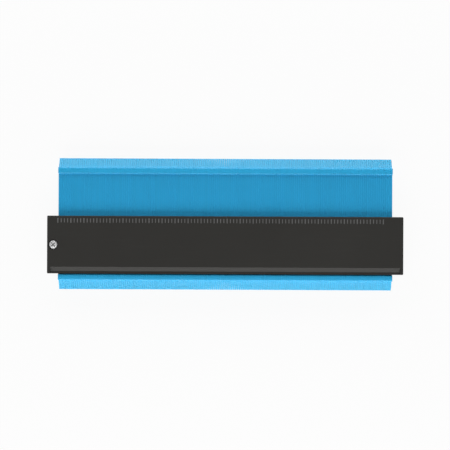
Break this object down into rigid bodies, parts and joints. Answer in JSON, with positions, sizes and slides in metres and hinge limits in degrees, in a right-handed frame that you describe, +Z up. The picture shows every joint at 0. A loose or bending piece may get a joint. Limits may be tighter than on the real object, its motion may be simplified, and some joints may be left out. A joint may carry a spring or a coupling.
{
  "type": "contour gauge",
  "caption": "Plastic contour gauge: a long black frame holding a pack of thin blue sliding leaves that copy the outline of what they are pressed against.",
  "frame": {"origin": "middle of the frame's back face, which lies on the bench", "axes": "+X along the frame and its scale, +Y the way the leaves slide towards their upper ends, +Z up and out of the front face"},
  "size_m": [0.274, 0.1018, 0.018],
  "materials": {
    "black_plastic": "fine matt moulded ABS",
    "blue_plastic": "satin moulded ABS",
    "foam": "closed-cell foam",
    "screw_steel": "bright zinc plating"
  },
  "bodies": {
    "frame": {"front_shell": "black_plastic", "back_shell": "black_plastic", "front_friction_pad": "foam", "back_friction_pad": "foam", "front_screw": "screw_steel", "back_screw": "screw_steel"},
    "leaves_01": {"leaves_01": "blue_plastic"},
    "leaves_02": {"leaves_02": "blue_plastic"},
    "leaves_03": {"leaves_03": "blue_plastic"},
    "leaves_04": {"leaves_04": "blue_plastic"},
    "leaves_05": {"leaves_05": "blue_plastic"},
    "leaves_06": {"leaves_06": "blue_plastic"},
    "leaves_07": {"leaves_07": "blue_plastic"},
    "leaves_08": {"leaves_08": "blue_plastic"},
    "leaves_09": {"leaves_09": "blue_plastic"},
    "leaves_10": {"leaves_10": "blue_plastic"},
    "leaves_11": {"leaves_11": "blue_plastic"},
    "leaves_12": {"leaves_12": "blue_plastic"},
    "leaves_13": {"leaves_13": "blue_plastic"},
    "leaves_14": {"leaves_14": "blue_plastic"},
    "leaves_15": {"leaves_15": "blue_plastic"},
    "leaves_16": {"leaves_16": "blue_plastic"},
    "leaves_17": {"leaves_17": "blue_plastic"},
    "leaves_18": {"leaves_18": "blue_plastic"},
    "leaves_19": {"leaves_19": "blue_plastic"},
    "leaves_20": {"leaves_20": "blue_plastic"},
    "leaves_21": {"leaves_21": "blue_plastic"},
    "leaves_22": {"leaves_22": "blue_plastic"},
    "leaves_23": {"leaves_23": "blue_plastic"},
    "leaves_24": {"leaves_24": "blue_plastic"},
    "leaves_25": {"leaves_25": "blue_plastic"},
    "leaves_26": {"leaves_26": "blue_plastic"},
    "leaves_27": {"leaves_27": "blue_plastic"},
    "leaves_28": {"leaves_28": "blue_plastic"},
    "leaves_29": {"leaves_29": "blue_plastic"},
    "leaves_30": {"leaves_30": "blue_plastic"},
    "leaves_31": {"leaves_31": "blue_plastic"},
    "leaves_32": {"leaves_32": "blue_plastic"},
    "leaves_33": {"leaves_33": "blue_plastic"},
    "leaves_34": {"leaves_34": "blue_plastic"},
    "leaves_35": {"leaves_35": "blue_plastic"},
    "leaves_36": {"leaves_36": "blue_plastic"},
    "leaves_37": {"leaves_37": "blue_plastic"},
    "leaves_38": {"leaves_38": "blue_plastic"},
    "leaves_39": {"leaves_39": "blue_plastic"},
    "leaves_40": {"leaves_40": "blue_plastic"},
    "leaves_41": {"leaves_41": "blue_plastic"},
    "leaves_42": {"leaves_42": "blue_plastic"},
    "leaves_43": {"leaves_43": "blue_plastic"},
    "leaves_44": {"leaves_44": "blue_plastic"},
    "leaves_45": {"leaves_45": "blue_plastic"},
    "leaves_46": {"leaves_46": "blue_plastic"},
    "leaves_47": {"leaves_47": "blue_plastic"},
    "leaves_48": {"leaves_48": "blue_plastic"},
    "leaves_49": {"leaves_49": "blue_plastic"},
    "leaves_50": {"leaves_50": "blue_plastic"},
    "leaves_51": {"leaves_51": "blue_plastic"},
    "leaves_52": {"leaves_52": "blue_plastic"},
    "leaves_53": {"leaves_53": "blue_plastic"}
  },
  "joints": [
    {"name": "leaves_01_slide", "type": "slide", "parent": "frame", "child": "leaves_01", "axis": [0, 1, 0], "range_m": [-0.0322, 0]},
    {"name": "leaves_02_slide", "type": "slide", "parent": "frame", "child": "leaves_02", "axis": [0, 1, 0], "range_m": [-0.0322, 0]},
    {"name": "leaves_03_slide", "type": "slide", "parent": "frame", "child": "leaves_03", "axis": [0, 1, 0], "range_m": [-0.0322, 0]},
    {"name": "leaves_04_slide", "type": "slide", "parent": "frame", "child": "leaves_04", "axis": [0, 1, 0], "range_m": [-0.0322, 0]},
    {"name": "leaves_05_slide", "type": "slide", "parent": "frame", "child": "leaves_05", "axis": [0, 1, 0], "range_m": [-0.0322, 0]},
    {"name": "leaves_06_slide", "type": "slide", "parent": "frame", "child": "leaves_06", "axis": [0, 1, 0], "range_m": [-0.0322, 0]},
    {"name": "leaves_07_slide", "type": "slide", "parent": "frame", "child": "leaves_07", "axis": [0, 1, 0], "range_m": [-0.0322, 0]},
    {"name": "leaves_08_slide", "type": "slide", "parent": "frame", "child": "leaves_08", "axis": [0, 1, 0], "range_m": [-0.0322, 0]},
    {"name": "leaves_09_slide", "type": "slide", "parent": "frame", "child": "leaves_09", "axis": [0, 1, 0], "range_m": [-0.0322, 0]},
    {"name": "leaves_10_slide", "type": "slide", "parent": "frame", "child": "leaves_10", "axis": [0, 1, 0], "range_m": [-0.0322, 0]},
    {"name": "leaves_11_slide", "type": "slide", "parent": "frame", "child": "leaves_11", "axis": [0, 1, 0], "range_m": [-0.0322, 0]},
    {"name": "leaves_12_slide", "type": "slide", "parent": "frame", "child": "leaves_12", "axis": [0, 1, 0], "range_m": [-0.0322, 0]},
    {"name": "leaves_13_slide", "type": "slide", "parent": "frame", "child": "leaves_13", "axis": [0, 1, 0], "range_m": [-0.0322, 0]},
    {"name": "leaves_14_slide", "type": "slide", "parent": "frame", "child": "leaves_14", "axis": [0, 1, 0], "range_m": [-0.0322, 0]},
    {"name": "leaves_15_slide", "type": "slide", "parent": "frame", "child": "leaves_15", "axis": [0, 1, 0], "range_m": [-0.0322, 0]},
    {"name": "leaves_16_slide", "type": "slide", "parent": "frame", "child": "leaves_16", "axis": [0, 1, 0], "range_m": [-0.0322, 0]},
    {"name": "leaves_17_slide", "type": "slide", "parent": "frame", "child": "leaves_17", "axis": [0, 1, 0], "range_m": [-0.0322, 0]},
    {"name": "leaves_18_slide", "type": "slide", "parent": "frame", "child": "leaves_18", "axis": [0, 1, 0], "range_m": [-0.0322, 0]},
    {"name": "leaves_19_slide", "type": "slide", "parent": "frame", "child": "leaves_19", "axis": [0, 1, 0], "range_m": [-0.0322, 0]},
    {"name": "leaves_20_slide", "type": "slide", "parent": "frame", "child": "leaves_20", "axis": [0, 1, 0], "range_m": [-0.0322, 0]},
    {"name": "leaves_21_slide", "type": "slide", "parent": "frame", "child": "leaves_21", "axis": [0, 1, 0], "range_m": [-0.0322, 0]},
    {"name": "leaves_22_slide", "type": "slide", "parent": "frame", "child": "leaves_22", "axis": [0, 1, 0], "range_m": [-0.0322, 0]},
    {"name": "leaves_23_slide", "type": "slide", "parent": "frame", "child": "leaves_23", "axis": [0, 1, 0], "range_m": [-0.0322, 0]},
    {"name": "leaves_24_slide", "type": "slide", "parent": "frame", "child": "leaves_24", "axis": [0, 1, 0], "range_m": [-0.0322, 0]},
    {"name": "leaves_25_slide", "type": "slide", "parent": "frame", "child": "leaves_25", "axis": [0, 1, 0], "range_m": [-0.0322, 0]},
    {"name": "leaves_26_slide", "type": "slide", "parent": "frame", "child": "leaves_26", "axis": [0, 1, 0], "range_m": [-0.0322, 0]},
    {"name": "leaves_27_slide", "type": "slide", "parent": "frame", "child": "leaves_27", "axis": [0, 1, 0], "range_m": [-0.0322, 0]},
    {"name": "leaves_28_slide", "type": "slide", "parent": "frame", "child": "leaves_28", "axis": [0, 1, 0], "range_m": [-0.0322, 0]},
    {"name": "leaves_29_slide", "type": "slide", "parent": "frame", "child": "leaves_29", "axis": [0, 1, 0], "range_m": [-0.0322, 0]},
    {"name": "leaves_30_slide", "type": "slide", "parent": "frame", "child": "leaves_30", "axis": [0, 1, 0], "range_m": [-0.0322, 0]},
    {"name": "leaves_31_slide", "type": "slide", "parent": "frame", "child": "leaves_31", "axis": [0, 1, 0], "range_m": [-0.0322, 0]},
    {"name": "leaves_32_slide", "type": "slide", "parent": "frame", "child": "leaves_32", "axis": [0, 1, 0], "range_m": [-0.0322, 0]},
    {"name": "leaves_33_slide", "type": "slide", "parent": "frame", "child": "leaves_33", "axis": [0, 1, 0], "range_m": [-0.0322, 0]},
    {"name": "leaves_34_slide", "type": "slide", "parent": "frame", "child": "leaves_34", "axis": [0, 1, 0], "range_m": [-0.0322, 0]},
    {"name": "leaves_35_slide", "type": "slide", "parent": "frame", "child": "leaves_35", "axis": [0, 1, 0], "range_m": [-0.0322, 0]},
    {"name": "leaves_36_slide", "type": "slide", "parent": "frame", "child": "leaves_36", "axis": [0, 1, 0], "range_m": [-0.0322, 0]},
    {"name": "leaves_37_slide", "type": "slide", "parent": "frame", "child": "leaves_37", "axis": [0, 1, 0], "range_m": [-0.0322, 0]},
    {"name": "leaves_38_slide", "type": "slide", "parent": "frame", "child": "leaves_38", "axis": [0, 1, 0], "range_m": [-0.0322, 0]},
    {"name": "leaves_39_slide", "type": "slide", "parent": "frame", "child": "leaves_39", "axis": [0, 1, 0], "range_m": [-0.0322, 0]},
    {"name": "leaves_40_slide", "type": "slide", "parent": "frame", "child": "leaves_40", "axis": [0, 1, 0], "range_m": [-0.0322, 0]},
    {"name": "leaves_41_slide", "type": "slide", "parent": "frame", "child": "leaves_41", "axis": [0, 1, 0], "range_m": [-0.0322, 0]},
    {"name": "leaves_42_slide", "type": "slide", "parent": "frame", "child": "leaves_42", "axis": [0, 1, 0], "range_m": [-0.0322, 0]},
    {"name": "leaves_43_slide", "type": "slide", "parent": "frame", "child": "leaves_43", "axis": [0, 1, 0], "range_m": [-0.0322, 0]},
    {"name": "leaves_44_slide", "type": "slide", "parent": "frame", "child": "leaves_44", "axis": [0, 1, 0], "range_m": [-0.0322, 0]},
    {"name": "leaves_45_slide", "type": "slide", "parent": "frame", "child": "leaves_45", "axis": [0, 1, 0], "range_m": [-0.0322, 0]},
    {"name": "leaves_46_slide", "type": "slide", "parent": "frame", "child": "leaves_46", "axis": [0, 1, 0], "range_m": [-0.0322, 0]},
    {"name": "leaves_47_slide", "type": "slide", "parent": "frame", "child": "leaves_47", "axis": [0, 1, 0], "range_m": [-0.0322, 0]},
    {"name": "leaves_48_slide", "type": "slide", "parent": "frame", "child": "leaves_48", "axis": [0, 1, 0], "range_m": [-0.0322, 0]},
    {"name": "leaves_49_slide", "type": "slide", "parent": "frame", "child": "leaves_49", "axis": [0, 1, 0], "range_m": [-0.0322, 0]},
    {"name": "leaves_50_slide", "type": "slide", "parent": "frame", "child": "leaves_50", "axis": [0, 1, 0], "range_m": [-0.0322, 0]},
    {"name": "leaves_51_slide", "type": "slide", "parent": "frame", "child": "leaves_51", "axis": [0, 1, 0], "range_m": [-0.0322, 0]},
    {"name": "leaves_52_slide", "type": "slide", "parent": "frame", "child": "leaves_52", "axis": [0, 1, 0], "range_m": [-0.0322, 0]},
    {"name": "leaves_53_slide", "type": "slide", "parent": "frame", "child": "leaves_53", "axis": [0, 1, 0], "range_m": [-0.0322, 0]}
  ]
}
